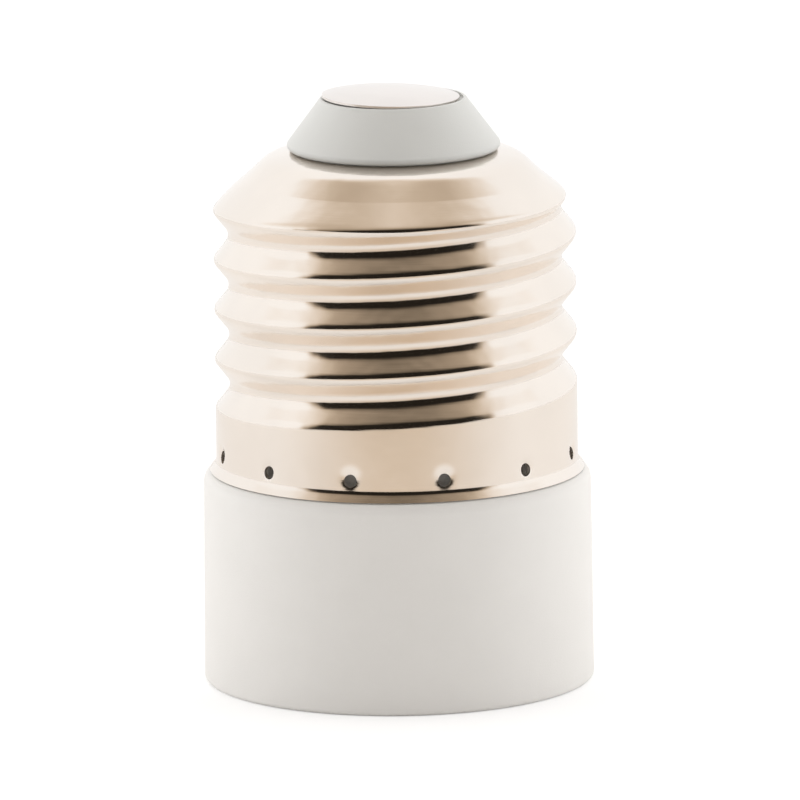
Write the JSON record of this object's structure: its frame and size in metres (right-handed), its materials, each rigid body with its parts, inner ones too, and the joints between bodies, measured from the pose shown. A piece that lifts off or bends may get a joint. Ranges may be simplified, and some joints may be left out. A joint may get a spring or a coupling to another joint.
{
  "type": "lamp socket adapter",
  "caption": "Lamp socket adapter with a nickel-plated screw cap on a white moulded body and a smaller screw socket inside its open foot.",
  "frame": {"origin": "centre of the foot's rim, at the middle of the box's bottom", "axes": "+Z along the cap's axis towards the tip contact; +X towards the neutral lead's slot; the centre contact's rivet lies on +Y"},
  "size_m": [0.0282, 0.0282, 0.0433],
  "materials": {
    "white_moulding": "fine satin",
    "nickel_sheet": "bright rolled nickel plate",
    "grey_plug": "satin",
    "nail_nickel": "bright nickel plate",
    "contact_brass": "rolled strip",
    "rivet_nickel": "plated",
    "bare_copper": "drawn wire",
    "lead_jacket": "smooth"
  },
  "bodies": {
    "adapter": {"body_moulding": "white_moulding", "male_screw_shell": "nickel_sheet", "tip_insulator": "grey_plug", "tip_contact": "nail_nickel", "female_screw_shell": "nickel_sheet", "centre_contact_rivet": "rivet_nickel", "shell_rivet_left": "rivet_nickel", "shell_rivet_right": "rivet_nickel", "live_terminal_tag": "contact_brass", "neutral_terminal_tag": "contact_brass", "live_lead_conductor": "bare_copper", "live_lead_insulation": "lead_jacket", "neutral_lead_conductor": "bare_copper", "neutral_lead_insulation": "lead_jacket"},
    "contact_tongue": {"centre_contact_tongue": "contact_brass"}
  },
  "joints": [
    {"name": "contact_press", "type": "hinge", "parent": "adapter", "child": "contact_tongue", "pos_m": [0, 0.0019, 0.02583], "axis": [-1, 0, 0], "range_deg": [0, 12], "stiffness_Nm_per_rad": 0.12, "deforming": ["centre_contact_tongue"]}
  ]
}
